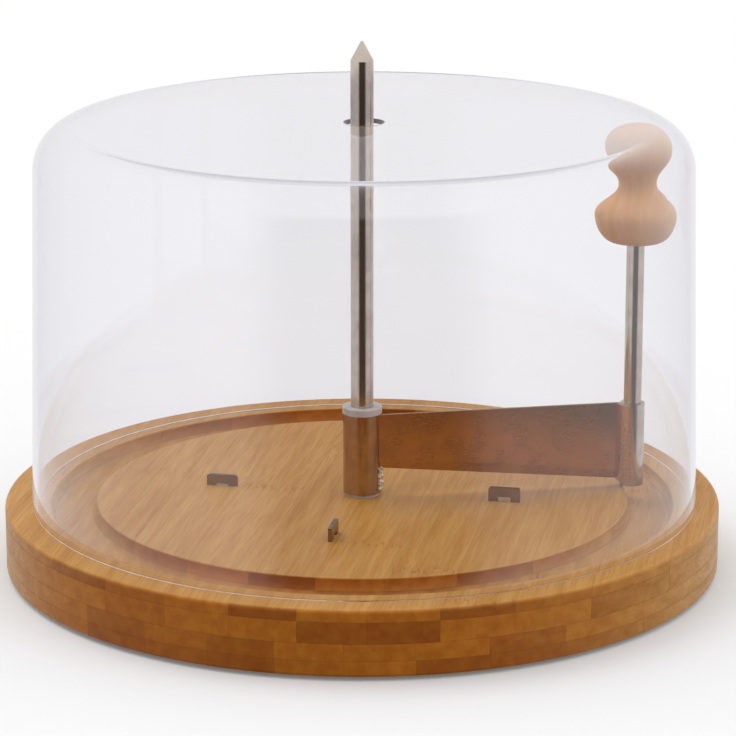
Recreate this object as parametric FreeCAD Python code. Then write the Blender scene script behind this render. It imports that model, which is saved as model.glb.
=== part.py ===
import FreeCAD, Part
import math
import os

# Cheese curler: a round bamboo board with a steel spindle, a scraper arm that turns on the
# spindle, a wooden knob on a turning rod, and a clear cover that stands on the board's rim.
# Millimetres, +Z up. The origin is on the table, under the spindle. Seen from the front,
# +X is to the right and +Y is away from the viewer.

Vector = FreeCAD.Vector
UP = Vector(0, 0, 1)
tolerance = 1e-6                  # edges this near to a place are at it

# Clearances
running_gap = 0.05                # radial play of a turning or sliding fit
axial_play = 0.1                  # end play of the turning parts
anchor_sweep_gap = 0.4            # from the anchors' tops to the blade that passes over them
knob_sweep_gap = 0.4              # from the knob's path to the cover, at its nearest
cover_rest_gap = 1.7              # from the spindle to the edge of the cover's hole, at its nearest

# Scraper arm
arm_length = 84.6                 # spindle axis to handle axis
arm_rest_angle = 6.2              # the arm at rest, in degrees from +X
hub_sleeve_height = 25.2
handle_sleeve_height = 26.2
handle_sweep_gap = 0.5            # from the board to the handle sleeve that passes over it
hub_sleeve_wall = 1.45
handle_sleeve_wall = 1.6
blade_thickness = 1.0
blade_top_setback = 0.1           # blade's top edge below the sleeves' tops
blade_hub_height = 8.8            # blade's lower edge above the board, at the hub
blade_handle_height = 2.0         # and at the handle
blade_hub_offset = 3.0            # blade's middle plane in front of the hub axis
blade_handle_offset = 0.8         # and behind the handle axis
blade_bevel_height = 3.0
blade_edge_thickness = 0.25
blade_wrap_end = 259.0            # the blade's end goes round the handle sleeve to this angle

# Spindle and its fixing
spindle_radius = 3.5
spindle_tip_length = 5.8
spindle_tip_radius = 0.35
spindle_above_cover = 24.4
spindle_seat_depth = 12.0
spindle_web = 2.5                 # wood left under the spindle's end
spindle_thread_depth = 8.0
screw_radius = 2.0
screw_hole_gap = 0.2
screw_head_radius = 3.8
screw_head_height = 2.4
screw_slot_width = 1.0
screw_slot_depth = 1.2
washer_radius = 6.0
washer_thickness = 1.0
counterbore_gap = 1.0             # radial room round the washer

# Hub bushes
bush_wall = 0.85
bush_length = 7.0
bush_top_flange_radius = 6.1
bush_top_flange_height = 2.1
bush_base_flange_radius = 5.4
bush_base_flange_height = 0.8
bush_flange_round = 0.35

# Handle rod, its clip and the knob
rod_radius = 2.8
rod_journal_radius = 2.25
rod_exposed = 51.4                # from the sleeve's top to the knob
rod_in_knob = 24.0
rod_end_height = 0.3              # journal's end above the sleeve's bottom
clip_thickness = 0.6
clip_groove_depth = 0.5
clip_rim = 0.7                    # how far the clip stands out of the journal
clip_opening = 70.0               # degrees
clip_end_gap = 0.2
clip_side_gap = 0.25
clip_height = 1.0                 # clip's underside above the sleeve's bottom
knob_height = 35.0
knob_foot_radius = 8.2
knob_foot_run = 2.3               # how far the foot's side runs out before it turns up
knob_foot_slope = 0.35            # its rise over its run
knob_flare_radius = 12.75
knob_flare_height = 7.8
knob_waist_radius = 6.0
knob_waist_height = 18.1
knob_bulb_radius = 10.2
knob_bulb_depth = 6.8             # the bulb's widest place below the knob's top
knob_curve = 0.45                 # how full its curves are, from 0 for straight runs
knob_crown_curve = 0.6            # and its top's
knob_headroom = 2.1               # from the knob's top to the cover's ceiling

# Cover
cover_wall = 1.5
cover_draft = 1.5                 # degrees
cover_shoulder_radius = 13.0
cover_edge_round = 0.5
cover_shift = 0.8                 # the loose cover stands this far off the spindle's axis
cover_shift_angle = -40.0

# Board
board_thickness = 20.0
board_edge_round = 1.2
board_base_round = 1.2
ledge_width = 7.76                # board outside the cover's foot
seat_margin = 4.0                 # from the groove's edge to the cover's inner foot
groove_width = 14.0
groove_depth = 5.2
groove_inner_cove = 4.5
groove_outer_cove = 4.5
plateau_edge_round = 0.5

# Anchors that hold the cheese
anchor_sunk = (0.0, 0.0, 0.9, 0.0)  # each one is driven in to its own depth
anchor_turn = -11.0               # the board as it lies, in degrees
anchor_middle_radius = 44.5
anchor_length = 9.8
anchor_thickness = 1.2
anchor_leg_width = 2.9
anchor_arch_height = 1.5
anchor_depth = 8.0
anchor_corner_round = 0.8

# Feet
foot_count = 4
foot_radius = 6.0
foot_proud = 1.0
foot_recess = 1.0
foot_recess_gap = 0.1
foot_inset = 20.0                 # foot's middle from the board's edge
foot_round = 0.6

# Levels, worked out from the sizes above
board_bottom = foot_proud
board_top = board_bottom + board_thickness
hub_bottom = board_top + bush_base_flange_height
hub_top = hub_bottom + hub_sleeve_height
handle_bottom = board_top + handle_sweep_gap
handle_top = handle_bottom + handle_sleeve_height
knob_bottom = handle_top + axial_play + rod_exposed
knob_top = knob_bottom + knob_height
cover_ceiling = knob_top + knob_headroom
cover_top = cover_ceiling + cover_wall
spindle_bottom = board_top - spindle_seat_depth
spindle_top = cover_top + spindle_above_cover
web_bottom = spindle_bottom - spindle_web

# Radii, worked out from the sizes above
bush_bore_radius = spindle_radius + running_gap
bush_radius = bush_bore_radius + bush_wall
hub_bore_radius = bush_radius + running_gap
hub_radius = hub_bore_radius + hub_sleeve_wall
handle_bore_radius = rod_journal_radius + running_gap
handle_radius = handle_bore_radius + handle_sleeve_wall
draft_slope = math.tan(math.radians(cover_draft))
flare_above_board = knob_bottom + knob_flare_height - board_top
cover_inner_at_knob = arm_length + knob_flare_radius + knob_sweep_gap + cover_shift
cover_foot_inner = cover_inner_at_knob + flare_above_board * draft_slope
cover_foot_radius = cover_foot_inner + cover_wall
cover_hole_radius = spindle_radius + cover_shift + cover_rest_gap
board_radius = cover_foot_radius + ledge_width
groove_outer_radius = cover_foot_inner - cover_shift - seat_margin
plateau_radius = groove_outer_radius - groove_width
foot_circle_radius = board_radius - foot_inset
anchor_count = len(anchor_sunk)
blade_start = math.sqrt(hub_radius ** 2 - blade_hub_offset ** 2) - blade_thickness


def place_about_axis(shape, angle):
    """Turn a shape about the spindle's axis."""
    shape.rotate(Vector(0, 0, 0), UP, angle)
    return shape


def tube(outer_radius, inner_radius, bottom, top):
    """A round tube standing on the spindle's axis."""
    wall = Part.makeCylinder(outer_radius, top - bottom, Vector(0, 0, bottom))
    bore = Part.makeCylinder(inner_radius, top - bottom, Vector(0, 0, bottom))
    return wall.cut(bore)


def circular_edges(shape, radius, height):
    """The full circles of one radius at one height."""
    found = []
    for edge in shape.Edges:
        if not isinstance(edge.Curve, Part.Circle):
            continue
        same_radius = abs(edge.Curve.Radius - radius) < tolerance
        same_height = abs(edge.Curve.Center.z - height) < tolerance
        if same_radius and same_height:
            found.append(edge)
    return found


def round_circle(shape, amount, radius, height):
    """Round the circular edges of one radius at one height."""
    return shape.makeFillet(amount, circular_edges(shape, radius, height))


def blade_lower_edge(distance):
    """Height of the blade's lower edge above the board, at a distance from the spindle."""
    share = (distance - hub_radius) / (arm_length - handle_radius - hub_radius)
    return blade_hub_height + share * (blade_handle_height - blade_hub_height)


def anchor_height():
    """How far an anchor stands above the board: the blade passes just over it."""
    outer_end = anchor_middle_radius + anchor_length / 2
    return blade_lower_edge(outer_end) - anchor_sweep_gap


def anchor(number):
    """A flat steel staple on edge, along a radius, with two legs in the board."""
    inner_end = anchor_middle_radius - anchor_length / 2
    height = anchor_depth + anchor_height()
    corner = Vector(inner_end, -anchor_thickness / 2, board_top - anchor_depth)
    plate = Part.makeBox(anchor_length, anchor_thickness, height, corner)
    top_edges = []
    for edge in plate.Edges:
        crosswise = edge.BoundBox.YLength > anchor_thickness / 2
        at_top = edge.BoundBox.ZMin > board_top + anchor_height() - 2 * tolerance
        if crosswise and at_top:
            top_edges.append(edge)
    plate = plate.makeFillet(anchor_corner_round, top_edges)
    gap_corner = Vector(inner_end + anchor_leg_width, -anchor_thickness, board_top - anchor_depth)
    gap_length = anchor_length - 2 * anchor_leg_width
    gap = Part.makeBox(gap_length, 2 * anchor_thickness, anchor_depth + anchor_arch_height, gap_corner)
    staple = plate.cut(gap)
    staple.translate(Vector(0, 0, -anchor_sunk[number]))
    return place_about_axis(staple, anchor_turn + number * 360.0 / anchor_count)


def foot_centre(number):
    """Middle of a rubber foot, seen from below."""
    angle = math.radians(anchor_turn + (number + 0.5) * 360.0 / foot_count)
    return Vector(foot_circle_radius * math.cos(angle), foot_circle_radius * math.sin(angle), 0)


def foot(number):
    """A round rubber foot, glued into a shallow recess under the board."""
    pad = Part.makeCylinder(foot_radius, foot_proud + foot_recess)
    pad = round_circle(pad, foot_round, foot_radius, 0)
    pad.translate(foot_centre(number))
    return pad


def groove():
    """The ring groove between the plateau and the rim, as the cutter that makes it."""
    floor = board_top - groove_depth
    cutter = tube(groove_outer_radius, plateau_radius, floor, board_top + groove_depth)
    cutter = round_circle(cutter, groove_inner_cove, plateau_radius, floor)
    return round_circle(cutter, groove_outer_cove, groove_outer_radius, floor)


def base_board(anchors):
    """The laminated board: plateau, groove, rim, and seats for what it carries."""
    board = Part.makeCylinder(board_radius, board_thickness, Vector(0, 0, board_bottom))
    board = round_circle(board, board_edge_round, board_radius, board_top)
    board = round_circle(board, board_base_round, board_radius, board_bottom)
    board = board.cut(groove())
    board = round_circle(board, plateau_edge_round, plateau_radius, board_top)
    board = round_circle(board, plateau_edge_round, groove_outer_radius, board_top)
    board = board.cut(Part.makeCylinder(spindle_radius, spindle_seat_depth, Vector(0, 0, spindle_bottom)))
    board = board.cut(Part.makeCylinder(screw_radius + screw_hole_gap, board_top))
    counterbore_radius = washer_radius + counterbore_gap
    board = board.cut(Part.makeCylinder(counterbore_radius, web_bottom))
    for number in range(foot_count):
        recess = Part.makeCylinder(foot_radius + foot_recess_gap, foot_proud + foot_recess)
        recess.translate(foot_centre(number))
        board = board.cut(recess)
    for staple in anchors:
        board = board.cut(staple)
    return board


def spindle():
    """The upright steel rod with a pointed tip, tapped for the screw below."""
    tip_base = spindle_top - spindle_tip_length
    rod = Part.makeCylinder(spindle_radius, tip_base - spindle_bottom, Vector(0, 0, spindle_bottom))
    tip = Part.makeCone(spindle_radius, spindle_tip_radius, spindle_tip_length, Vector(0, 0, tip_base))
    thread = Part.makeCylinder(screw_radius, spindle_thread_depth, Vector(0, 0, spindle_bottom))
    return rod.fuse(tip).cut(thread)


def spindle_washer():
    """Steel washer under the web of wood that the screw clamps."""
    return tube(washer_radius, screw_radius + screw_hole_gap, web_bottom - washer_thickness, web_bottom)


def spindle_screw():
    """Slotted screw that pulls the spindle down into its seat."""
    head_top = web_bottom - washer_thickness
    head_bottom = head_top - screw_head_height
    shank_top = spindle_bottom + spindle_thread_depth
    head = Part.makeCylinder(screw_head_radius, screw_head_height, Vector(0, 0, head_bottom))
    shank = Part.makeCylinder(screw_radius, shank_top - head_top, Vector(0, 0, head_top))
    slot_corner = Vector(-screw_head_radius, -screw_slot_width / 2, head_bottom)
    slot = Part.makeBox(2 * screw_head_radius, screw_slot_width, screw_slot_depth, slot_corner)
    return head.fuse(shank).cut(slot)


def hub_bush_top():
    """Flanged bush in the top of the hub sleeve."""
    flange_bottom = hub_top + axial_play
    flange_top = flange_bottom + bush_top_flange_height
    flange = Part.makeCylinder(bush_top_flange_radius, bush_top_flange_height, Vector(0, 0, flange_bottom))
    flange = round_circle(flange, bush_flange_round, bush_top_flange_radius, flange_top)
    body = Part.makeCylinder(bush_radius, flange_top - hub_top + bush_length,
                             Vector(0, 0, hub_top - bush_length))
    bore = Part.makeCylinder(bush_bore_radius, flange_top - hub_bottom, Vector(0, 0, hub_bottom))
    return flange.fuse(body).removeSplitter().cut(bore)


def hub_bush_base():
    """Flanged bush in the bottom of the hub sleeve, which the arm turns on."""
    flange = Part.makeCylinder(bush_base_flange_radius, bush_base_flange_height, Vector(0, 0, board_top))
    body = Part.makeCylinder(bush_radius, bush_base_flange_height + bush_length, Vector(0, 0, board_top))
    bore = Part.makeCylinder(bush_bore_radius, hub_sleeve_height, Vector(0, 0, board_top))
    return flange.fuse(body).removeSplitter().cut(bore)


def to_arm(shape):
    """Turn a piece of the arm from +X to where the arm lies at rest."""
    return place_about_axis(shape, arm_rest_angle)


def hub_sleeve():
    """Tube of the arm that turns about the spindle."""
    return to_arm(tube(hub_radius, hub_bore_radius, hub_bottom, hub_top))


def handle_sleeve():
    """Tube at the arm's end that the handle rod turns in."""
    sleeve = tube(handle_radius, handle_bore_radius, handle_bottom, handle_top)
    room_radius = rod_journal_radius + clip_rim + clip_side_gap
    room_height = clip_height + clip_thickness + clip_end_gap
    sleeve = sleeve.cut(Part.makeCylinder(room_radius, room_height, Vector(0, 0, handle_bottom)))
    sleeve.translate(Vector(arm_length, 0, 0))
    return to_arm(sleeve)


def blade_strip():
    """The flat part of the blade, from the hub to the fold, ground along its lower edge."""
    rise = blade_handle_offset + blade_hub_offset
    slant = math.degrees(math.atan2(rise, arm_length))
    length = math.hypot(arm_length, rise)
    band_middle = handle_radius + blade_thickness / 2
    end = length - math.sqrt(band_middle ** 2 - blade_handle_offset ** 2)
    low_start = board_top + blade_lower_edge(blade_start)
    low_end = board_top + blade_lower_edge(end)
    back = blade_thickness / 2
    outline = Part.makePolygon([
        Vector(blade_start, back, low_start),
        Vector(end, back, low_end),
        Vector(end, back, handle_top - blade_top_setback),
        Vector(blade_start, back, hub_top - blade_top_setback),
        Vector(blade_start, back, low_start),
    ])
    strip = Part.Face(outline).extrude(Vector(0, -blade_thickness, 0))
    ground = blade_thickness - blade_edge_thickness
    bevel = Part.Face(Part.makePolygon([
        Vector(blade_start, -back, low_start + blade_bevel_height),
        Vector(blade_start, -back, low_start),
        Vector(blade_start, -back + ground, low_start),
        Vector(blade_start, -back, low_start + blade_bevel_height),
    ]))
    strip = strip.cut(bevel.extrude(Vector(end - blade_start, 0, low_end - low_start)))
    strip.rotate(Vector(0, 0, 0), UP, slant)
    strip.translate(Vector(0, -blade_hub_offset, 0))
    return strip


def blade_wrap():
    """The blade's end, bent round the side of the handle sleeve."""
    bottom = board_top + blade_lower_edge(arm_length - handle_radius)
    start = 180 - math.degrees(math.asin(blade_handle_offset / (handle_radius + blade_thickness / 2)))
    height = handle_top - blade_top_setback - bottom
    sector = Part.makeCylinder(handle_radius + blade_thickness, height,
                               Vector(0, 0, bottom), UP, blade_wrap_end - start)
    sector.rotate(Vector(0, 0, 0), UP, start)
    sector.translate(Vector(arm_length, 0, 0))
    return sector


def scraper_blade():
    """The steel blade: strip and wrap in one, welded to both sleeves."""
    blade = blade_strip().fuse(blade_wrap()).removeSplitter()
    hub_space = Part.makeCylinder(hub_radius, cover_top)
    handle_space = Part.makeCylinder(handle_radius, cover_top, Vector(arm_length, 0, 0))
    return to_arm(blade.cut(hub_space).cut(handle_space))


def to_handle(shape):
    """Move a piece from the spindle's axis to the handle's axis."""
    shape.translate(Vector(arm_length, 0, 0))
    return to_arm(shape)


def handle_rod():
    """Steel rod: a journal in the sleeve, a shoulder on it, and the knob on top."""
    journal_bottom = handle_bottom + rod_end_height
    shoulder = handle_top + axial_play
    rod_top = knob_bottom + rod_in_knob
    journal = Part.makeCylinder(rod_journal_radius, shoulder - journal_bottom, Vector(0, 0, journal_bottom))
    shaft = Part.makeCylinder(rod_radius, rod_top - shoulder, Vector(0, 0, shoulder))
    groove_bottom = handle_bottom + clip_height
    floor_radius = rod_journal_radius - clip_groove_depth
    ring = tube(rod_radius, floor_radius, groove_bottom, groove_bottom + clip_thickness)
    return to_handle(journal.fuse(shaft).cut(ring))


def rod_clip():
    """Open spring clip in the journal's groove, which keeps the rod in its sleeve."""
    bottom = handle_bottom + clip_height
    inner = rod_journal_radius - clip_groove_depth
    outer = rod_journal_radius + clip_rim
    ring = tube(outer, inner, bottom, bottom + clip_thickness)
    mouth = Part.makeCylinder(2 * outer, clip_thickness, Vector(0, 0, bottom), UP, clip_opening)
    return to_handle(ring.cut(mouth))


def curve_between(start, leaving, end, arriving):
    """A smooth curve from one point to another, with the steps that it leaves and arrives by."""
    curve = Part.BezierCurve()
    curve.setPoles([start, start + leaving, end - arriving, end])
    return curve.toShape()


def upright_curve(start, end):
    """A curve between two of the knob's widest or narrowest places, upright at both."""
    step = Vector(0, 0, (end.z - start.z) * knob_curve)
    return curve_between(start, step, end, step)


def knob():
    """Turned beech knob: a flared foot, a waist and a bulb, glued on the rod."""
    foot_edge = Vector(knob_foot_radius, 0, knob_bottom)
    flare = Vector(knob_flare_radius, 0, knob_bottom + knob_flare_height)
    waist = Vector(knob_waist_radius, 0, knob_bottom + knob_waist_height)
    bulb = Vector(knob_bulb_radius, 0, knob_top - knob_bulb_depth)
    top = Vector(0, 0, knob_top)
    foot_step = Vector(knob_foot_run, 0, knob_foot_run * knob_foot_slope)
    flare_step = Vector(0, 0, knob_flare_height * knob_curve)
    bulb_step = Vector(0, 0, knob_bulb_depth * knob_crown_curve)
    top_step = Vector(-knob_bulb_radius * knob_crown_curve, 0, 0)
    outline = Part.Wire([
        curve_between(foot_edge, foot_step, flare, flare_step),
        upright_curve(flare, waist),
        upright_curve(waist, bulb),
        curve_between(bulb, bulb_step, top, top_step),
        Part.makeLine(top, Vector(0, 0, knob_bottom)),
        Part.makeLine(Vector(0, 0, knob_bottom), foot_edge),
    ])
    body = Part.Face(outline).revolve(Vector(0, 0, 0), UP, 360)
    bore = Part.makeCylinder(rod_radius, rod_in_knob, Vector(0, 0, knob_bottom))
    return to_handle(body.cut(bore))


def cover_bell(foot_radius_here, top, shoulder):
    """A tapered bell with a round shoulder, standing on the rim."""
    height = top - board_top
    top_radius = foot_radius_here - height * draft_slope
    bell = Part.makeCone(foot_radius_here, top_radius, height, Vector(0, 0, board_top))
    return round_circle(bell, shoulder, top_radius, top)


def cover():
    """Clear moulded cover with a hole for the spindle."""
    outside = cover_bell(cover_foot_radius, cover_top, cover_shoulder_radius)
    inside = cover_bell(cover_foot_inner, cover_ceiling, cover_shoulder_radius - cover_wall)
    shell = outside.cut(inside)
    shell = shell.cut(Part.makeCylinder(cover_hole_radius, cover_top))
    shell = round_circle(shell, cover_edge_round, cover_foot_radius, board_top)
    shell = round_circle(shell, cover_edge_round, cover_foot_inner, board_top)
    shell = round_circle(shell, cover_edge_round, cover_hole_radius, cover_top)
    shell = round_circle(shell, cover_edge_round, cover_hole_radius, cover_ceiling)
    shift_angle = math.radians(cover_shift_angle)
    shell.translate(Vector(cover_shift * math.cos(shift_angle), cover_shift * math.sin(shift_angle), 0))
    return shell


def build():
    """Every piece, by the name of its file."""
    anchors = [anchor(number) for number in range(anchor_count)]
    pieces = {"base_board": base_board(anchors)}
    for number, staple in enumerate(anchors):
        pieces["anchor_%d" % (number + 1)] = staple
    for number in range(foot_count):
        pieces["foot_%d" % (number + 1)] = foot(number)
    pieces["spindle"] = spindle()
    pieces["spindle_washer"] = spindle_washer()
    pieces["spindle_screw"] = spindle_screw()
    pieces["hub_bush_top"] = hub_bush_top()
    pieces["hub_bush_base"] = hub_bush_base()
    pieces["hub_sleeve"] = hub_sleeve()
    pieces["scraper_blade"] = scraper_blade()
    pieces["handle_sleeve"] = handle_sleeve()
    pieces["handle_rod"] = handle_rod()
    pieces["rod_clip"] = rod_clip()
    pieces["knob"] = knob()
    pieces["cover"] = cover()
    return pieces


os.makedirs("parts", exist_ok=True)
for node, shape in build().items():
    shape.exportStep("parts/%s.step" % node)
    print("%-16s solids %d valid %s volume %.1f" % (node, len(shape.Solids), shape.isValid(), shape.Volume))
print("board radius %.2f, cover foot radius %.2f, groove %.2f to %.2f" % (
    board_radius, cover_foot_radius, plateau_radius, groove_outer_radius))
print("board top %.2f, cover top %.2f, spindle top %.2f, anchor height %.2f" % (
    board_top, cover_top, spindle_top, anchor_height()))
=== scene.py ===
"""Looks of a cheese curler: bamboo board, steel spindle and scraper arm, turned knob, clear cover.

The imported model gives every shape, place and joint. This script gives each of its nodes a finish,
builds the pieces that need smoother or finer forms than the solids have, and sets up the studio.
Sizes are in millimetres where a name says so and in metres elsewhere, and angles are in degrees.
"""

import logging
import math
import random
from dataclasses import dataclass
from enum import Enum

import bmesh
import bpy
from mathutils import Matrix, Vector


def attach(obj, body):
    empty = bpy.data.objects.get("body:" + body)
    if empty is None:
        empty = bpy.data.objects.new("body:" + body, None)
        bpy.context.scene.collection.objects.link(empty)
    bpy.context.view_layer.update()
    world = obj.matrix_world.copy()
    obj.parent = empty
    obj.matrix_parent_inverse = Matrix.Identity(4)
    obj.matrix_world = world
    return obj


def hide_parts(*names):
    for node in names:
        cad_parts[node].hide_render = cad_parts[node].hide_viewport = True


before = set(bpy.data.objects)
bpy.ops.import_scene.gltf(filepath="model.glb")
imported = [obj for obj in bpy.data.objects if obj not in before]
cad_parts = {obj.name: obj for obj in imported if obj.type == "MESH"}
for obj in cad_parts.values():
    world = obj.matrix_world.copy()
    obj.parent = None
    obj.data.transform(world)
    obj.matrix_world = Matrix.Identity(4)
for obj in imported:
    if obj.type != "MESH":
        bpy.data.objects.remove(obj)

LOG = logging.getLogger("cheese_curler")
MM = 0.001
STRIP_MM = 0.15
MERGE_MM = 0.001
SAME_PLACE_MM = 0.01
MIX_SHARE, MIX_FIRST, MIX_SECOND, MIX_RESULT = 0, 6, 7, 2
Triple = tuple[float, float, float]
Pair = tuple[float, float]
Socket = bpy.types.NodeSocket
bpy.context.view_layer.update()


class Body(Enum):
    """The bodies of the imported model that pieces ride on."""

    BASE = "base"
    BUSHES = "bushes"
    ARM = "arm"
    HANDLE = "handle"
    COVER = "cover_body"


class Slot(Enum):
    """The record's material slots."""

    BAMBOO = "bamboo"
    BEECH = "beech"
    STEEL = "steel"
    BUSH = "bush"
    RUBBER = "rubber"
    CLEAR = "clear"


class Grain(Enum):
    """How long the marks of making are on a steel piece, in mm along X, Y and Z."""

    DRAWN = (0.5, 0.5, 30.0)
    TURNED = (9.0, 9.0, 0.4)
    ROLLED = (30.0, 0.5, 0.5)


class NodeWeb:
    """Adds nodes to one material or world and joins them."""

    def __init__(self, tree: bpy.types.NodeTree) -> None:
        """Start from an empty tree.

        Args:
            tree: The material's or world's node tree. What it holds is removed.
        """
        self.tree = tree
        tree.nodes.clear()

    def put(self, socket: Socket, value: object) -> None:
        """Link a socket to another one, or set its own value.

        Args:
            socket: The input to fill.
            value: An output socket, a number, a colour or a vector.
        """
        if isinstance(value, Socket):
            self.tree.links.new(value, socket)
            return
        if isinstance(value, tuple) and socket.type == "RGBA" and len(value) == 3:
            value = (*value, 1.0)
        socket.default_value = value

    def node(self, kind: str, inputs: dict[object, object], **settings: object) -> bpy.types.Node:
        """Add one node.

        Args:
            kind: The node's type without its ShaderNode prefix.
            inputs: What each input gets, by its name or number.
            settings: The node's own properties.

        Returns:
            The new node.
        """
        made = self.tree.nodes.new("ShaderNode" + kind)
        for name, value in settings.items():
            setattr(made, name, value)
        for key, value in inputs.items():
            self.put(made.inputs[key], value)
        return made

    def math(self, operation: str, *values: object, clamp: bool = False) -> Socket:
        """One Math node's result."""
        inputs = dict(enumerate(values))
        return self.node("Math", inputs, operation=operation, use_clamp=clamp).outputs[0]

    def add(self, first: object, second: object, clamp: bool = False) -> Socket:
        """The sum of two values."""
        return self.math("ADD", first, second, clamp=clamp)

    def less(self, first: object, second: object) -> Socket:
        """The first value less the second."""
        return self.math("SUBTRACT", first, second)

    def times(self, first: object, second: object) -> Socket:
        """The product of two values."""
        return self.math("MULTIPLY", first, second)

    def over(self, first: object, second: object) -> Socket:
        """The first value divided by the second."""
        return self.math("DIVIDE", first, second)

    def size(self, value: object) -> Socket:
        """A value without its sign."""
        return self.math("ABSOLUTE", value)

    def off_centre(self, value: object) -> Socket:
        """How far a value lies from the middle of its whole step, from 0 to 0.5."""
        return self.size(self.less(self.math("FRACT", value), 0.5))

    def place(self, turn: Triple = (0, 0, 0), scale: float = 1.0) -> Socket:
        """The piece's own coordinates, scaled and then turned.

        Args:
            turn: Angles about X, Y and Z, in degrees.
            scale: One factor for all axes.

        Returns:
            The vector socket.
        """
        own = self.node("TexCoord", {}).outputs["Object"]
        angles = tuple(math.radians(angle) for angle in turn)
        inputs = {"Vector": own, "Rotation": angles, "Scale": (scale,) * 3}
        return self.node("Mapping", inputs).outputs[0]

    def split(self, vector: Socket) -> tuple[Socket, ...]:
        """The three parts of a vector."""
        return tuple(self.node("SeparateXYZ", {0: vector}).outputs)

    def join(self, x: object, y: object, z: object) -> Socket:
        """A vector from three parts."""
        return self.node("CombineXYZ", {0: x, 1: y, 2: z}).outputs[0]

    def steps(self, parts: tuple[object, ...], lengths: Triple) -> Socket:
        """A vector from three parts, each counted in steps of its own length."""
        return self.join(*(self.over(part, length) for part, length in zip(parts, lengths)))

    def rates(self, parts: tuple[object, ...], factors: Triple) -> Socket:
        """A vector from three parts, each times its own factor."""
        return self.join(*(self.times(part, factor) for part, factor in zip(parts, factors)))

    def noise(self, vector: Socket, scale: float = 1.0, detail: float = 2.0,
              rough: float = 0.5, twist: float = 0.0) -> Socket:
        """Smooth noise between about 0.2 and 0.8.

        Args:
            vector: Where it is read.
            scale: How many features there are in one unit.
            detail: How many finer layers are added.
            rough: How strong the finer layers are.
            twist: How far it is bent by itself.

        Returns:
            The noise's socket.
        """
        inputs = {"Vector": vector, "Scale": scale, "Detail": detail, "Roughness": rough,
                  "Distortion": twist}
        return self.node("TexNoise", inputs).outputs[0]

    def chance(self, vector: Socket) -> Socket:
        """One random number from 0 to 1 for each whole vector."""
        return self.node("TexWhiteNoise", {"Vector": vector}).outputs["Value"]

    def span(self, value: object, start: float, end: float, low: float = 0.0,
             high: float = 1.0, smooth: bool = True) -> Socket:
        """A value's place between two ends, as a number from low to high.

        Args:
            value: What is measured.
            start: The value that gives low.
            end: The value that gives high.
            low: The result at start.
            high: The result at end.
            smooth: Whether it eases in and out.

        Returns:
            The result's socket.
        """
        inputs = {"Value": value, "From Min": start, "From Max": end,
                  "To Min": low, "To Max": high}
        kind = "SMOOTHSTEP" if smooth else "LINEAR"
        return self.node("MapRange", inputs, interpolation_type=kind).outputs[0]

    def fade(self, value: object, start: float, end: float) -> Socket:
        """A number that eases from 1 at start down to 0 at end."""
        return self.span(value, start, end, 1.0, 0.0)

    def mix(self, share: object, first: object, second: object, blend: str = "MIX") -> Socket:
        """A mix of two colours.

        Args:
            share: How much of the second there is.
            first: A colour or a socket.
            second: A colour or a socket.
            blend: How the second goes on the first.

        Returns:
            The colour's socket.
        """
        made = self.node("Mix", {}, data_type="RGBA", blend_type=blend)
        for index, value in ((MIX_SHARE, share), (MIX_FIRST, first), (MIX_SECOND, second)):
            self.put(made.inputs[index], value)
        return made.outputs[MIX_RESULT]

    def bump(self, height: object, strength: float, depth_mm: float) -> Socket:
        """A normal from a height pattern."""
        inputs = {"Height": height, "Strength": strength, "Distance": depth_mm * MM}
        return self.node("Bump", inputs).outputs[0]

    def choose(self, ray: str, others: Socket, chosen: Socket) -> Socket:
        """One shader for a kind of ray, and another for the rest.

        Args:
            ray: The Light Path output that names the rays.
            others: The shader for all other rays.
            chosen: The shader for these rays.

        Returns:
            The shader's socket.
        """
        is_ray = self.node("LightPath", {}).outputs[ray]
        return self.node("MixShader", {0: is_ray, 1: others, 2: chosen}).outputs[0]

    def background(self, colour: object, strength: object = 1.0) -> Socket:
        """A light-giving surround."""
        return self.node("Background", {"Color": colour, "Strength": strength}).outputs[0]

    def end(self, shader: Socket, kind: str = "OutputMaterial",
            inside: Socket | None = None) -> None:
        """Join the surface's shader to the output.

        Args:
            shader: The surface's shader.
            kind: Which output the tree ends in.
            inside: The shader of what fills the piece, if there is one.
        """
        made = self.node(kind, {"Surface": shader})
        if inside is not None:
            self.put(made.inputs["Volume"], inside)


def new_material(name: str) -> tuple[bpy.types.Material, NodeWeb]:
    """Make an empty material.

    Args:
        name: The material's name.

    Returns:
        The material and its nodes.
    """
    made = bpy.data.materials.new(name)
    made.use_nodes = True
    return made, NodeWeb(made.node_tree)


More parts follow.
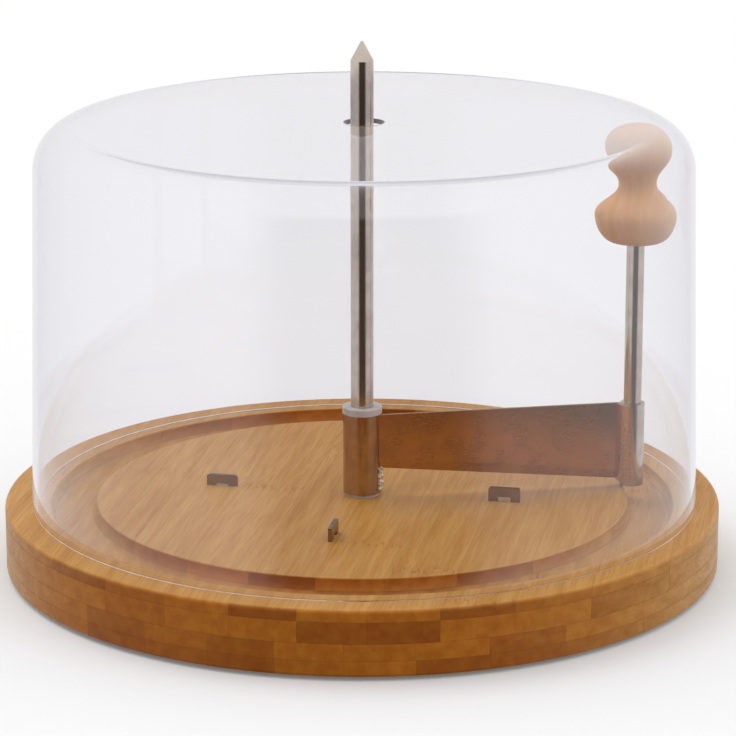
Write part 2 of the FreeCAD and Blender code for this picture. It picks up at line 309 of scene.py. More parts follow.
@dataclass(frozen=True)
class Bamboo:
    """Oiled laminated bamboo: strips in four layers, with fibre bundles and a few knuckles."""

    strip_width_mm: float = 19.7
    strip_edge_mm: float = 9.3
    strip_turn: float = 10.0
    strip_offset_mm: float = 90.0
    strip_seed: float = 5.0
    strip_gap: Pair = (0.4925, 0.4975)
    layer_joints_mm: tuple[float, ...] = (5.9, 11.0, 17.4)
    layer_gap_mm: Pair = (0.06, 0.20)
    layer_slip_mm: float = 9.0
    layer_seed: float = 3.0
    layer_last: float = 2.0
    pale: Triple = (0.555, 0.292, 0.076)
    deep: Triple = (0.415, 0.180, 0.026)
    fibre: Triple = (0.300, 0.090, 0.008)
    seam: Triple = (0.200, 0.060, 0.008)
    # Partly the end grain's own darker colour and partly painted shade: faces across the strips, such as
    # the board's front and back sides, are multiplied darker and redder.
    end_grain_and_shade: Triple = (0.88, 0.555, 0.175)
    end_grain_and_deep_shade: Triple = (0.655, 0.365, 0.128)
    end_luck: Pair = (0.05, 0.60)
    end_facing: Pair = (0.25, 0.95)
    end_calm: float = 0.85
    tone_middle: float = 0.40
    tone_luck: float = 0.24
    tone_drift: float = 0.40
    drift_mm: Triple = (3.5, 60.0, 3.5)
    drift_cut: Pair = (0.3, 0.7)
    streak_mm: Triple = (0.55, 16.0, 0.55)
    streak_cut: Pair = (0.42, 0.72)
    streak_range: Pair = (0.3, 0.8)
    streak_share: float = 0.24
    dash_mm: Triple = (0.24, 4.5, 0.24)
    dash_cut: Pair = (0.60, 0.72)
    dash_share: float = 0.32
    seam_share: float = 0.22
    knuckle_share: float = 0.60
    knuckle_gap_mm: float = 170.0
    knuckle_half: float = 0.035
    knuckle_bend_mm: float = 9.0
    knuckle_bend_rate: float = 0.25
    knuckle_bend_luck: float = 40.0
    knuckle_cell_luck: float = 7.0
    knuckle_dash_mm: Triple = (0.7, 3.5, 1.0)
    knuckle_cut: Pair = (0.5, 0.62)
    roughness: Pair = (0.34, 0.50)
    seam_roughness: float = 0.2
    relief: Triple = (0.5, 0.4, 0.8)
    bump_strength: float = 0.35
    bump_mm: float = 0.06
    gloss: float = 0.22

    def material(self) -> bpy.types.Material:
        """The finish as a material.

        Returns:
            The new material.
        """
        made, web = new_material("bamboo")
        across, along, up = web.split(web.place(turn=(0, 0, self.strip_turn), scale=1 / MM))
        layer = 0.0
        for joint in self.layer_joints_mm:
            layer = web.add(web.math("GREATER_THAN", up, joint), layer)
        place = self.strip_place(web, across, layer)
        luck = web.chance(web.join(web.math("FLOOR", place), layer, self.strip_seed))
        moved = web.add(along, web.times(luck, self.strip_offset_mm))
        parts = (across, moved, up)
        drift = web.noise(web.steps(parts, self.drift_mm), rough=0.6)
        streak = web.noise(web.steps(parts, self.streak_mm), detail=3.0, rough=0.6, twist=0.15)
        dash = web.noise(web.steps(parts, self.dash_mm), detail=1.0)
        tone = web.add(web.times(luck, self.tone_luck), self.tone_middle)
        drift = web.span(drift, *self.drift_cut, -self.tone_drift, self.tone_drift, smooth=False)
        tone = web.add(tone, drift, clamp=True)
        facing = web.node("VectorMath", {0: web.node("TexCoord", {}).outputs["Normal"],
                                         1: self.along_direction()}, operation="DOT_PRODUCT")
        end = web.span(web.size(facing.outputs["Value"]), *self.end_facing)
        long = web.less(1.0, web.times(end, self.end_calm))
        wood = web.mix(tone, self.deep, self.pale)
        for pattern, cut, share in ((streak, self.streak_cut, self.streak_share),
                                    (dash, self.dash_cut, self.dash_share)):
            wood = web.mix(web.times(web.span(pattern, *cut, 0.0, share), long), wood, self.fibre)
        knuckle = web.times(self.knuckle(web, moved, across, luck), long)
        wood = web.mix(web.times(knuckle, self.knuckle_share), wood, self.fibre)
        seam = self.seams(web, place, up)
        wood = web.mix(web.times(seam, self.seam_share), wood, self.seam)
        # Faces across the strips are darkened: partly the end grain's own colour, partly painted shade.
        end_tint_and_shade = web.mix(web.span(luck, *self.end_luck), self.end_grain_and_deep_shade, self.end_grain_and_shade)
        wood = web.mix(end, wood, end_tint_and_shade, blend="MULTIPLY")
        roughness = web.add(web.span(streak, *self.streak_range, *self.roughness),
                            web.times(seam, self.seam_roughness))
        relief = web.less(web.times(streak, self.relief[0]), web.times(dash, self.relief[1]))
        relief = web.less(relief, web.times(seam, self.relief[2]))
        inputs = {"Base Color": wood, "Roughness": roughness, "Specular IOR Level": self.gloss,
                  "Normal": web.bump(relief, self.bump_strength, self.bump_mm)}
        web.end(web.node("BsdfPrincipled", inputs).outputs[0])
        return made

    def along_direction(self) -> Triple:
        """The direction that the strips run in."""
        angle = math.radians(-self.strip_turn)
        return (-math.sin(angle), math.cos(angle), 0.0)

    def strip_place(self, web: NodeWeb, across: Socket, layer: Socket) -> Socket:
        """Which strip a place is in, and how far across it, each layer with its own slip.

        Args:
            web: The material's nodes.
            across: The place across the strips, in mm.
            layer: The layer's number. The top two share their strips.

        Returns:
            The strip's number, with the share of its width as the fraction.
        """
        board = web.math("MINIMUM", layer, self.layer_last)
        slip = web.span(web.chance(web.join(board, self.layer_seed, 0.0)), 0, 1,
                        -self.layer_slip_mm, self.layer_slip_mm, smooth=False)
        return web.over(web.add(web.less(across, self.strip_edge_mm), slip), self.strip_width_mm)

    def knuckle(self, web: NodeWeb, moved: Socket, across: Socket, luck: Socket) -> Socket:
        """The short dark dashes where the bamboo's knuckles were, each strip at its own place.

        Args:
            web: The material's nodes.
            moved: The place along the strip, in mm.
            across: The place across the strips, in mm.
            luck: The strip's random number.

        Returns:
            How much of a dash there is, from 0 to 1.
        """
        row = web.times(luck, self.knuckle_bend_luck)
        wave = web.noise(web.join(across, row, 0.0), scale=self.knuckle_bend_rate)
        bent = web.add(moved, web.times(wave, self.knuckle_bend_mm))
        cell = web.add(web.over(bent, self.knuckle_gap_mm),
                       web.times(luck, self.knuckle_cell_luck))
        dashes = web.noise(web.steps((across, moved, luck), self.knuckle_dash_mm))
        return web.times(web.fade(web.off_centre(cell), 0.0, self.knuckle_half),
                         web.span(dashes, *self.knuckle_cut))

    def seams(self, web: NodeWeb, place: Socket, up: Socket) -> Socket:
        """The glue lines between strips and layers.

        Args:
            web: The material's nodes.
            place: The strip's number, with the share of its width as the fraction.
            up: The height, in mm.

        Returns:
            How much of a line there is, from 0 to 1.
        """
        lines = web.span(web.off_centre(place), *self.strip_gap)
        for joint in self.layer_joints_mm:
            line = web.fade(web.size(web.less(up, joint)), *self.layer_gap_mm)
            lines = web.math("MAXIMUM", lines, line)
        return lines


@dataclass(frozen=True)
class Beech:
    """Turned and waxed beech: fine upright grain, flecks, and faint rings from the lathe."""

    pale: Triple = (0.760, 0.420, 0.200)
    deep: Triple = (0.710, 0.360, 0.152)
    fleck: Triple = (0.520, 0.230, 0.090)
    grain_turn: Triple = (4.0, 3.0, 25.0)
    year_mm: Triple = (2.4, 9.0, 40.0)
    year_cut: Pair = (0.3, 0.7)
    fine_mm: Triple = (0.35, 0.35, 6.0)
    fine_cut: Pair = (0.45, 0.75)
    fine_range: Pair = (0.3, 0.8)
    fine_share: float = 0.14
    fleck_mm: Triple = (0.5, 0.25, 1.3)
    fleck_cut: Pair = (0.64, 0.74)
    fleck_share: float = 0.6
    ring_rate: float = 7.0
    ring_relief: float = 0.12
    fine_relief: float = 0.5
    bump_strength: float = 0.25
    bump_mm: float = 0.05
    roughness: Pair = (0.36, 0.50)
    gloss: float = 0.2

    def material(self) -> bpy.types.Material:
        """The finish as a material.

        Returns:
            The new material.
        """
        made, web = new_material("beech")
        parts = web.split(web.place(scale=1 / MM, turn=self.grain_turn))
        year = web.noise(web.steps(parts, self.year_mm), twist=0.4)
        fine = web.noise(web.steps(parts, self.fine_mm))
        spots = web.noise(web.steps(parts, self.fleck_mm), detail=1.0)
        wood = web.mix(web.span(year, *self.year_cut), self.deep, self.pale)
        wood = web.mix(web.span(fine, *self.fine_cut, 0.0, self.fine_share), wood, self.deep)
        wood = web.mix(web.span(spots, *self.fleck_cut, 0.0, self.fleck_share), wood, self.fleck)
        rings = web.math("SINE", web.times(parts[2], self.ring_rate))
        relief = web.add(web.times(rings, self.ring_relief), web.times(fine, self.fine_relief))
        inputs = {"Base Color": wood,
                  "Roughness": web.span(fine, *self.fine_range, *self.roughness),
                  "Normal": web.bump(relief, self.bump_strength, self.bump_mm),
                  "Specular IOR Level": self.gloss}
        web.end(web.node("BsdfPrincipled", inputs).outputs[0])
        return made


@dataclass(frozen=True)
class Steel:
    """Stainless steel with fine marks of making, light scratches and smudges."""

    name: str
    grain: Grain
    colour: Triple = (0.610, 0.520, 0.430)
    smudge: Triple = (0.520, 0.440, 0.360)
    roughness: float = 0.10
    turn: float = 0.0
    relief: float = 0.06
    relief_mm: float = 0.01
    marks_height: float = 0.35
    marks_range: Pair = (0.3, 0.8)
    marks_wear: float = 0.06
    cloud_rate: float = 0.16
    cloud_cut: Pair = (0.35, 0.7)
    cloud_range: Pair = (0.35, 0.75)
    cloud_wear: float = 0.08
    nick_rate: float = 1.6
    nick_rates: Triple = (0.9, 0.9, 0.25)
    nick_cut: Pair = (0.70, 0.80)
    nick_wear: float = 0.03

    def material(self) -> bpy.types.Material:
        """The finish as a material.

        Returns:
            The new material.
        """
        made, web = new_material(self.name)
        parts = web.split(web.place(scale=1 / MM, turn=(0, 0, self.turn)))
        marks = web.noise(web.steps(parts, self.grain.value), rough=0.6)
        cloud = web.noise(web.join(*parts), scale=self.cloud_rate, detail=3.0)
        nicks = web.noise(web.rates(parts, self.nick_rates), scale=self.nick_rate, detail=1.0,
                          twist=1.2)
        colour = web.mix(web.span(cloud, *self.cloud_cut), self.colour, self.smudge)
        wear = web.add(web.span(cloud, *self.cloud_range, 0.0, self.cloud_wear),
                       web.span(marks, *self.marks_range, 0.0, self.marks_wear))
        wear = web.add(wear, web.times(web.span(nicks, *self.nick_cut), self.nick_wear))
        height = web.times(marks, self.marks_height)
        inputs = {"Base Color": colour, "Metallic": 1.0,
                  "Normal": web.bump(height, self.relief, self.relief_mm),
                  "Roughness": web.add(wear, self.roughness)}
        web.end(web.node("BsdfPrincipled", inputs).outputs[0])
        return made


@dataclass(frozen=True)
class Moulded:
    """Moulded plastic or rubber with a fine skin and slight handling marks."""

    name: str
    colour: Triple
    marks: Triple
    roughness: float
    skin_mm: float
    smoother: float = 0.06
    rougher: float = 0.08
    cloud_rate: float = 0.35
    cloud_cut: Pair = (0.35, 0.75)
    cloud_range: Pair = (0.2, 0.8)
    bump_strength: float = 0.2
    bump_mm: float = 0.02

    def material(self) -> bpy.types.Material:
        """The finish as a material.

        Returns:
            The new material.
        """
        made, web = new_material(self.name)
        own = web.place(scale=1 / MM)
        cloud = web.noise(own, scale=self.cloud_rate, detail=3.0)
        skin = web.noise(own, scale=1 / self.skin_mm, detail=1.0)
        colour = web.mix(web.span(cloud, *self.cloud_cut), self.colour, self.marks)
        roughness = web.span(cloud, *self.cloud_range, self.roughness - self.smoother,
                             self.roughness + self.rougher)
        inputs = {"Base Color": colour, "Roughness": roughness,
                  "Normal": web.bump(skin, self.bump_strength, self.bump_mm)}
        web.end(web.node("BsdfPrincipled", inputs).outputs[0])
        return made


@dataclass(frozen=True)
class ClearPlastic:
    """Clear moulded plastic, faintly violet, with slight waves in its surface.

    Light from the lamps and the surroundings passes straight through it, and what is seen
    through it is bent and tinted. Painted shade darkens the hole's edge; the foot has a painted reflection
    of the board's brown.
    """

    skin: Triple = (0.985, 0.984, 0.990)
    body: Triple = (0.760, 0.768, 0.850)
    body_density: float = 110.0
    shade: Triple = (0.955, 0.955, 0.960)
    # Painted shade: the dark colour painted round the edge of the hole, with where that ring stands, how
    # wide it is and how soft.
    cut: Triple = (0.060, 0.035, 0.040)
    painted_hole_shade_centre_mm: Pair = (0.613, -0.514)
    painted_hole_shade_radius_mm: float = 6.30
    painted_hole_shade_soft_mm: float = 0.1
    # Painted reflection: the board's brown painted on the lowest part of the foot, with how high, soft and
    # strong it is.
    foot: Triple = (0.620, 0.420, 0.260)
    foot_mm: float = 21.2
    painted_board_hue_soft_mm: float = 0.15
    painted_board_hue_share: float = 0.85
    ior: float = 1.49
    wave_mm: float = 22.0
    wave_strength: float = 0.25
    wave_height_mm: float = 0.10
    wear_rate: float = 0.02
    wear_range: Pair = (0.3, 0.8)
    wear_roughness: float = 0.012

    def material(self) -> bpy.types.Material:
        """The finish as a material.

        Returns:
            The new material.
        """
        made, web = new_material("clear_plastic")
        own = web.place(scale=1 / MM)
        wave = web.noise(own, scale=1 / self.wave_mm, detail=1.0)
        wear = web.noise(own, scale=self.wear_rate, detail=3.0)
        roughness = web.span(wear, *self.wear_range, 0.0, self.wear_roughness)
        inputs = {"Base Color": self.tint(web, own), "IOR": self.ior, "Roughness": roughness,
                  "Normal": web.bump(wave, self.wave_strength, self.wave_height_mm),
                  "Transmission Weight": 1.0}
        glass = web.node("BsdfPrincipled", inputs).outputs[0]
        thin = web.node("BsdfTransparent", {"Color": self.shade}).outputs[0]
        seen = web.choose("Is Transmission Ray", thin, glass)
        seen = web.choose("Is Camera Ray", seen, glass)
        filling = web.node("VolumeAbsorption", {"Color": self.body, "Density": self.body_density})
        web.end(seen, inside=filling.outputs[0])
        return made

    def tint(self, web: NodeWeb, own: Socket) -> Socket:
        """The surface's colour: clear, with painted shade on the hole's edge and a painted reflection of
        the board's brown on the foot.

        Args:
            web: The material's nodes.
            own: The piece's own coordinates, in mm.

        Returns:
            The colour's socket.
        """
        x_mm, y_mm, z_mm = web.split(own)
        # Painted shade: a dark ring painted round the edge of the hole.
        x_off = web.less(x_mm, self.painted_hole_shade_centre_mm[0])
        y_off = web.less(y_mm, self.painted_hole_shade_centre_mm[1])
        reach = web.math("SQRT", web.add(web.times(x_off, x_off), web.times(y_off, y_off)))
        painted_hole_shade = web.fade(reach, self.painted_hole_shade_radius_mm - self.painted_hole_shade_soft_mm,
                       self.painted_hole_shade_radius_mm + self.painted_hole_shade_soft_mm)
        # Painted reflection: the board's brown painted on the lowest part of the foot.
        foot = web.span(z_mm, self.foot_mm - self.painted_board_hue_soft_mm, self.foot_mm + self.painted_board_hue_soft_mm,
                        self.painted_board_hue_share, 0.0)
        return web.mix(painted_hole_shade, web.mix(foot, self.skin, self.foot), self.cut)


def dress(node: str, finish: bpy.types.Material) -> None:
    """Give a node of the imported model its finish.

    Args:
        node: The node's name.
        finish: The material.
    """
    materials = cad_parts[node].data.materials
    materials.clear()
    materials.append(finish)
    LOG.info("dressed %s in %s", node, finish.name)


def place_mesh(name: str, bm: bmesh.types.BMesh, finish: bpy.types.Material) -> bpy.types.Object:
    """Make an object at the origin from a mesh.

    Args:
        name: The object's name.
        bm: The mesh in metres. It is freed.
        finish: The material.

    Returns:
        The new object.
    """
    mesh = bpy.data.meshes.new(name)
    bm.to_mesh(mesh)
    bm.free()
    mesh.materials.append(finish)
    made = bpy.data.objects.new(name, mesh)
    bpy.context.scene.collection.objects.link(made)
    return made


def new_piece(name: str, bm: bmesh.types.BMesh, finish: bpy.types.Material, body: Body) -> bpy.types.Object:
    """Make a finished piece that rides on a body.

    Args:
        name: The piece's name.
        bm: The mesh in metres, in the row frame. It is freed.
        finish: The material.
        body: What the piece moves with.

    Returns:
        The new object.
    """
    made = place_mesh(name, bm, finish)
    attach(made, body.value)
    LOG.info("built %s, %d faces", name, len(made.data.polygons))
    return made


@dataclass(frozen=True)
class Corner:
    """One corner of a spun profile, with its rounding."""

    radius_mm: float
    height_mm: float
    round_mm: float
    segments: int

    def point(self) -> Vector:
        """The corner in the profile's plane, in metres."""
        return Vector((self.radius_mm * MM, 0, self.height_mm * MM))


def spun_shell(corners: list[Corner], steps: int) -> bmesh.types.BMesh:
    """Spin a closed profile about the upright axis, and round its corners.

    Each flat side keeps a narrow strip beside each rounding, so that the side itself is shaded
    and bends light as a true cone or plane.

    Args:
        corners: The profile's corners, in order.
        steps: How many steps the full turn has.

    Returns:
        The ring-shaped shell, in metres.
    """
    bm = bmesh.new()
    points, bevels = [], []
    befores, afters = corners[-1:] + corners[:-1], corners[1:] + corners[:1]
    for before, corner, after in zip(befores, corners, afters):
        back = (before.point() - corner.point()).normalized()
        on = (after.point() - corner.point()).normalized()
        reach = corner.round_mm * MM / math.tan(back.angle(on) / 2)
        strip = reach + STRIP_MM * MM
        points += [corner.point() + back * strip, corner.point(), corner.point() + on * strip]
        bevels.append((corner, reach))
    verts = [bm.verts.new(point) for point in points]
    edges = [bm.edges.new(pair) for pair in zip(verts, verts[1:] + verts[:1])]
    bmesh.ops.spin(bm, geom=verts + edges, cent=(0, 0, 0), axis=(0, 0, 1), dvec=(0, 0, 0),
                   angle=math.tau, steps=steps, use_merge=True, use_duplicate=False)
    bmesh.ops.remove_doubles(bm, verts=bm.verts, dist=MERGE_MM * MM)
    bmesh.ops.recalc_face_normals(bm, faces=bm.faces)
    for corner, reach in bevels:
        round_ring(bm, corner, reach)
    return bm


def round_ring(bm: bmesh.types.BMesh, corner: Corner, reach: float) -> None:
    """Round the full circle of edges that a corner has become.

    Args:
        bm: The shell.
        corner: The corner.
        reach: How far the rounding takes away each side, in metres.
    """
    at = corner.point()
    near = SAME_PLACE_MM * MM

    def on_circle(vert: bmesh.types.BMVert) -> bool:
        """Whether a vertex lies on the circle."""
        off = math.hypot(vert.co.x, vert.co.y) - at.x
        return abs(off) < near and abs(vert.co.z - at.z) < near

    ring = [edge for edge in bm.edges if all(on_circle(vert) for vert in edge.verts)]
    bmesh.ops.bevel(bm, geom=ring, offset=reach, offset_type="OFFSET", affect="EDGES",
                    segments=corner.segments, profile=0.5, material=-1)


def smooth(bm: bmesh.types.BMesh) -> None:
    """Shade every face smooth."""
    for face in bm.faces:
        face.smooth = True


@dataclass
class Board:
    """The bamboo board with its rubber feet and steel anchors."""

    feet: tuple[str, ...] = ("foot_1", "foot_2", "foot_3", "foot_4")
    anchors: tuple[str, ...] = ("anchor_1", "anchor_2", "anchor_3", "anchor_4")
    wood: Bamboo = Bamboo()
    rubber: Moulded = Moulded("rubber", (0.030, 0.030, 0.032), (0.050, 0.050, 0.052),
                              roughness=0.65, skin_mm=0.3)
    stamped: Steel = Steel("stamped_steel", Grain.DRAWN, (0.330, 0.250, 0.200),
                           (0.260, 0.200, 0.160), roughness=0.16)

    def build(self) -> None:
        """Dress the board and what is fixed to it."""
        dress("base_board", self.wood.material())
        rubber = self.rubber.material()
        for foot in self.feet:
            dress(foot, rubber)
        stamped = self.stamped.material()
        for anchor in self.anchors:
            dress(anchor, stamped)


@dataclass
class Spindle:
    """The pointed spindle and what fastens it."""

    drawn: Steel = Steel("spindle_steel", Grain.DRAWN, (0.650, 0.570, 0.490),
                         (0.550, 0.480, 0.410), roughness=0.12)
    fixing: Steel = Steel("fixing_steel", Grain.TURNED, roughness=0.2)

    def build(self) -> None:
        """Dress the spindle, its screw and its washer."""
        dress("spindle", self.drawn.material())
        fixing = self.fixing.material()
        dress("spindle_screw", fixing)
        dress("spindle_washer", fixing)


@dataclass
class Arm:
    """The scraper arm: two sleeves, the blade between them, and its bushes.

    Two short weld beads stand at the foot of the hub sleeve, below the blade.
    """

    # Painted reflection: the hub's steel is tinted redder and darker so that the wood it mirrors reads
    # redder and darker.
    hub: Steel = Steel("hub_steel_painted_reflection", Grain.DRAWN, (0.520, 0.370, 0.260), (0.430, 0.300, 0.210),
                       roughness=0.12)
    sleeve: Steel = Steel("sleeve_steel", Grain.DRAWN, roughness=0.12)
    # Painted reflection: the blade's steel is tinted redder and darker so that the wood it mirrors reads
    # redder and darker.
    blade: Steel = Steel("blade_steel_painted_reflection", Grain.ROLLED, (0.590, 0.360, 0.200),
                         (0.510, 0.300, 0.160), roughness=0.20, turn=-8.77, relief=0.012)
    acetal: Moulded = Moulded("acetal", (0.56, 0.52, 0.49), (0.46, 0.42, 0.39),
                              roughness=0.35, skin_mm=0.2)
    bead: Steel = Steel("weld_steel", Grain.TURNED, (0.80, 0.70, 0.60), (0.62, 0.52, 0.44),
                        roughness=0.32)
    bead_radius_mm: float = 0.70
    bead_sizes: Pair = (0.6, 1.15)
    bead_drift_mm: float = 0.2
    bead_lean: float = 0.3
    bead_pitch_mm: float = 0.80
    bead_pitches: Pair = (0.85, 1.15)
    bead_low_mm: float = 23.2
    bead_high_mm: float = 30.4
    bead_places_mm: tuple[Pair, ...] = ((5.42, -2.98), (5.82, -1.30))
    bead_round: int = 16
    bead_rows: int = 10

    def build(self) -> None:
        """Dress the sleeves, the blade and the bushes, and build the weld beads."""
        dress("hub_sleeve", self.hub.material())
        dress("handle_sleeve", self.sleeve.material())
        dress("scraper_blade", self.blade.material())
        acetal = self.acetal.material()
        dress("hub_bush_top", acetal)
        dress("hub_bush_base", acetal)
        for number, place in enumerate(self.bead_places_mm, 1):
            self.weld(f"hub_weld_{number}", place)

    def weld(self, name: str, place_mm: Pair) -> None:
        """One upright weld bead between the hub sleeve and the blade.

        Args:
            name: The piece's name, which also seeds its random sizes.
            place_mm: Where the bead's middle line stands.
        """
        luck = random.Random(name)
        bm = bmesh.new()
        height = self.bead_low_mm
        while height < self.bead_high_mm:
            radius = self.bead_radius_mm * luck.uniform(*self.bead_sizes)
            drift = Vector((luck.uniform(-self.bead_drift_mm, self.bead_drift_mm),
                            luck.uniform(-self.bead_drift_mm, self.bead_drift_mm), 0))
            at = Vector((*place_mm, height)) + drift
            lean = luck.uniform(-self.bead_lean, self.bead_lean)
            shape = Matrix.Translation(at * MM) @ Matrix.Rotation(lean, 4, "Y")
            bmesh.ops.create_uvsphere(bm, u_segments=self.bead_round, v_segments=self.bead_rows,
                                      radius=radius * MM, matrix=shape)
            height += self.bead_pitch_mm * luck.uniform(*self.bead_pitches)
        smooth(bm)
        new_piece(name, bm, self.bead.material(), Body.ARM)


@dataclass
class Handle:
    """The rod, its clip and the knob."""

    rod: Steel = Steel("rod_steel", Grain.DRAWN, roughness=0.08)
    spring: Steel = Steel("spring_steel", Grain.DRAWN, roughness=0.25)
    wood: Beech = Beech()

    def build(self) -> None:
        """Dress the rod, the clip and the knob."""
        dress("handle_rod", self.rod.material())
        dress("rod_clip", self.spring.material())
        dress("knob", self.wood.material())


@dataclass
class Cover:
    """The clear cover, spun from the solid's own profile."""

    off_axis_mm: float = 0.8
    off_axis_turn: float = -40
    foot_radius_mm: float = 102.30
    wall_mm: float = 1.5
    draft: float = 1.5
    foot_mm: float = 21.0
    top_mm: float = 137.8
    shoulder_mm: float = 13.0
    shoulder_segments: int = 24
    hole_radius_mm: float = 6.0
    edge_mm: float = 0.3
    edge_segments: int = 4
    sharp_mm: float = 0.05
    sharp_segments: int = 2
    steps: int = 192
    plastic: ClearPlastic = ClearPlastic()

    def build(self) -> None:
        """Build the cover and let it stand for the solid."""
        inner = self.foot_radius_mm - self.wall_mm
        ceiling = self.top_mm - self.wall_mm
        slope = math.tan(math.radians(self.draft))
        outer_top = self.foot_radius_mm - (self.top_mm - self.foot_mm) * slope
        inner_top = inner - (ceiling - self.foot_mm) * slope
        inner_shoulder_mm = self.shoulder_mm - self.wall_mm
        bm = spun_shell([
            Corner(inner, self.foot_mm, self.sharp_mm, self.sharp_segments),
            Corner(self.foot_radius_mm, self.foot_mm, self.edge_mm, self.edge_segments),
            Corner(outer_top, self.top_mm, self.shoulder_mm, self.shoulder_segments),
            Corner(self.hole_radius_mm, self.top_mm, self.edge_mm, self.edge_segments),
            Corner(self.hole_radius_mm, ceiling, self.edge_mm, self.edge_segments),
            Corner(inner_top, ceiling, inner_shoulder_mm, self.shoulder_segments),
        ], self.steps)
        turn = math.radians(self.off_axis_turn)
        centre_mm = (self.off_axis_mm * math.cos(turn), self.off_axis_mm * math.sin(turn))
        bmesh.ops.translate(bm, verts=bm.verts, vec=(centre_mm[0] * MM, centre_mm[1] * MM, 0))
        smooth(bm)
        shell = new_piece("cover_shell", bm, self.plastic.material(), Body.COVER)
        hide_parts("cover")


@dataclass(frozen=True)
class Surround:
    """White all round, for metal and plastic too, with a dark room behind the camera.

    Places are directions: x to the right, y away from the viewer, z up, each from -1 to 1.
    """

    white: Triple = (1.0, 1.0, 1.0)
    soft: Triple = (1.0, 0.995, 0.99)
    sides: Triple = (0.88, 0.87, 0.88)
    room: Triple = (0.085, 0.060, 0.048)
    room_middle: float = 0.05
    room_low_width: float = 0.95
    room_width: float = 0.50
    room_waist: Pair = (-0.32, -0.275)
    room_edge: Pair = (-0.05, 0.30)
    room_top: float = 0.54
    room_top_soft: float = 0.12
    band: Triple = (0.045, 0.035, 0.110)
    band_start: Pair = (0.29, 0.36)
    band_end: Pair = (0.54, 0.69)
    band_width: float = 0.15
    band_soft: float = 0.07
    fore: Pair = (-0.95, -0.30)
    fore_dim: float = 0.42
    right: Pair = (0.10, 0.80)
    right_gain: float = 0.5
    level: Pair = (0.95, 1.05)

    def mirrored(self, web: NodeWeb, parts: tuple[Socket, ...]) -> Socket:
        """What metal and plastic mirror.

        Args:
            web: The world's nodes.
            parts: The direction's three parts.

        Returns:
            The colour's socket.
        """
        x_part, y_part, z_part = parts
        width = web.span(z_part, *self.room_waist, self.room_low_width, self.room_width)
        off_middle = web.size(web.less(x_part, self.room_middle))
        aside = web.add(off_middle, web.times(y_part, width))
        low = web.fade(z_part, self.room_top - self.room_top_soft,
                       self.room_top + self.room_top_soft)
        dark = web.times(web.fade(aside, *self.room_edge), low)
        seen = web.mix(dark, self.sides, self.room)
        beyond = web.less(web.size(x_part), web.times(y_part, self.band_width))
        band = web.times(web.span(z_part, *self.band_start), web.fade(z_part, *self.band_end))
        band = web.times(web.fade(beyond, -self.band_soft, self.band_soft), band)
        return web.mix(band, seen, self.band)

    def strength(self, web: NodeWeb, parts: tuple[Socket, ...]) -> Socket:
        """How strong the light is: dimmer from the front, stronger from the right.

        Args:
            web: The world's nodes.
            parts: The direction's three parts.

        Returns:
            The strength's socket.
        """
        x_part, y_part, z_part = parts
        right = web.span(x_part, *self.right)
        dim = web.less(self.fore_dim, web.times(right, self.fore_dim))
        shade = web.times(web.fade(y_part, *self.fore), dim)
        level = web.less(web.span(z_part, 0.0, 1.0, *self.level), shade)
        return web.add(level, web.times(right, self.right_gain))

    def build(self) -> None:
        """Make it the scene's world."""
        world = bpy.data.worlds.new("studio_surround")
        bpy.context.scene.world = world
        world.use_nodes = True
        web = NodeWeb(world.node_tree)
        parts = web.split(web.node("TexCoord", {}).outputs["Generated"])
        shine = web.background(self.mirrored(web, parts))
        seen = web.background(self.soft, self.strength(web, parts))
        white = web.background(self.white)
        for ray, shader in (("Is Glossy Ray", shine), ("Is Transmission Ray", white),
                            ("Is Camera Ray", white)):
            seen = web.choose(ray, seen, shader)
        web.end(seen, "OutputWorld")


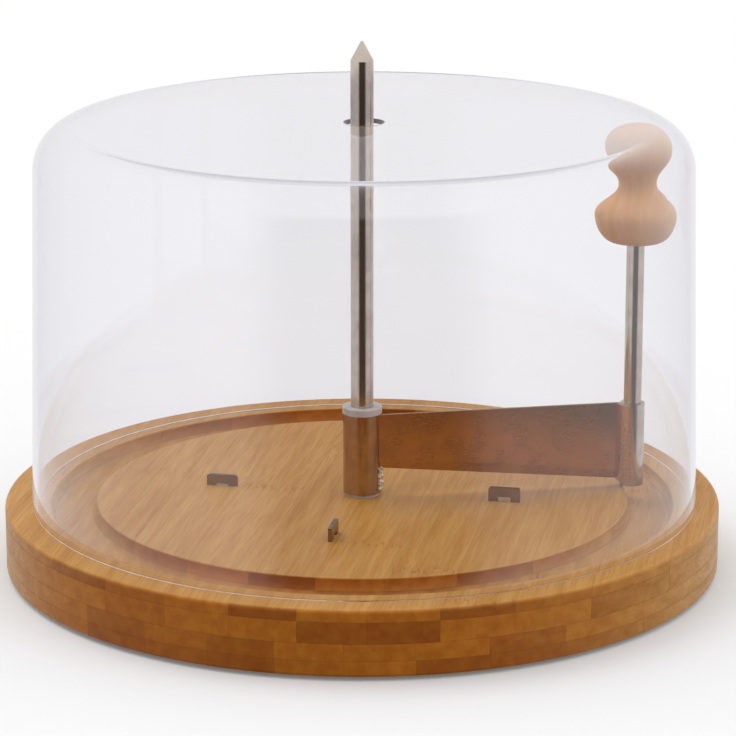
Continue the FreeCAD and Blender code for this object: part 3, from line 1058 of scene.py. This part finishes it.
@dataclass
class Studio:
    """A white floor and surround, soft light, and the photograph's camera."""

    surround: Surround = Surround()
    camera_mm: Triple = (1.81, -965.3, 322.2)
    camera_tilt: float = 74.86
    camera_near: float = 0.05
    camera_far: float = 20.0
    focal_px: float = 3259.0
    frame_px: float = 736.0
    sensor_mm: float = 36.0
    floor_size: float = 6.0
    floor_cells: int = 4
    floor_rate: float = 2.0
    floor_paint: tuple[Triple, Triple] = ((0.66, 0.66, 0.665), (0.68, 0.68, 0.68))
    floor_glow: float = 0.118
    glow_colour: Triple = (1.0, 1.0, 1.0)
    floor_dull: Triple = (0.28, 0.28, 0.28)
    lamp_from: Triple = (-0.55, 0.35, 1.0)
    lamp_width: float = 45.0
    lamp_energy: float = 0.9

    def build(self) -> None:
        """Set up the studio."""
        self.floor()
        self.surround.build()
        self.lamp()
        self.camera()
        bpy.context.scene.view_settings.view_transform = "Standard"

    def floor(self) -> None:
        """A wide white floor that takes the object's shadow."""
        bm = bmesh.new()
        bmesh.ops.create_grid(bm, x_segments=self.floor_cells, y_segments=self.floor_cells,
                              size=self.floor_size / 2)
        floor = place_mesh("studio_floor", bm, self.floor_finish())
        floor.visible_glossy = False

    def floor_finish(self) -> bpy.types.Material:
        """White paint, and a duller one for the light that the floor throws back.

        Returns:
            The new material.
        """
        made, web = new_material("studio_floor")
        tone = web.mix(web.noise(web.place(scale=self.floor_rate)), *self.floor_paint)
        paint = web.node("BsdfDiffuse", {"Color": tone}).outputs[0]
        glow = web.node("Emission", {"Color": self.glow_colour, "Strength": self.floor_glow})
        lit = web.node("AddShader", {0: paint, 1: glow.outputs[0]}).outputs[0]
        dull = web.node("BsdfDiffuse", {"Color": self.floor_dull}).outputs[0]
        seen = web.choose("Is Transmission Ray", dull, lit)
        web.end(web.choose("Is Camera Ray", seen, lit))
        return made

    def lamp(self) -> None:
        """One wide soft lamp far off, high at the back left."""
        light = bpy.data.lights.new("soft_lamp", "SUN")
        light.angle = math.radians(self.lamp_width)
        light.energy = self.lamp_energy
        lamp = bpy.data.objects.new("soft_lamp", light)
        bpy.context.scene.collection.objects.link(lamp)
        lamp.rotation_euler = Vector(self.lamp_from).to_track_quat("Z", "Y").to_euler()
        lamp.visible_glossy = False

    def camera(self) -> None:
        """The camera that matches the photograph."""
        lens = bpy.data.cameras.new("photo_camera")
        lens.sensor_width = self.sensor_mm
        lens.lens = self.focal_px / self.frame_px * self.sensor_mm
        lens.clip_start, lens.clip_end = self.camera_near, self.camera_far
        camera = bpy.data.objects.new("photo_camera", lens)
        bpy.context.scene.collection.objects.link(camera)
        camera.location = tuple(part * MM for part in self.camera_mm)
        camera.rotation_euler = (math.radians(self.camera_tilt), 0, 0)
        bpy.context.scene.camera = camera


def main() -> None:
    """Build every sub-assembly, then the studio."""
    logging.basicConfig(level=logging.INFO, format="%(message)s")
    Board().build()
    Spindle().build()
    Arm().build()
    Handle().build()
    Cover().build()
    Studio().build()


if __name__ == "__main__":
    main()
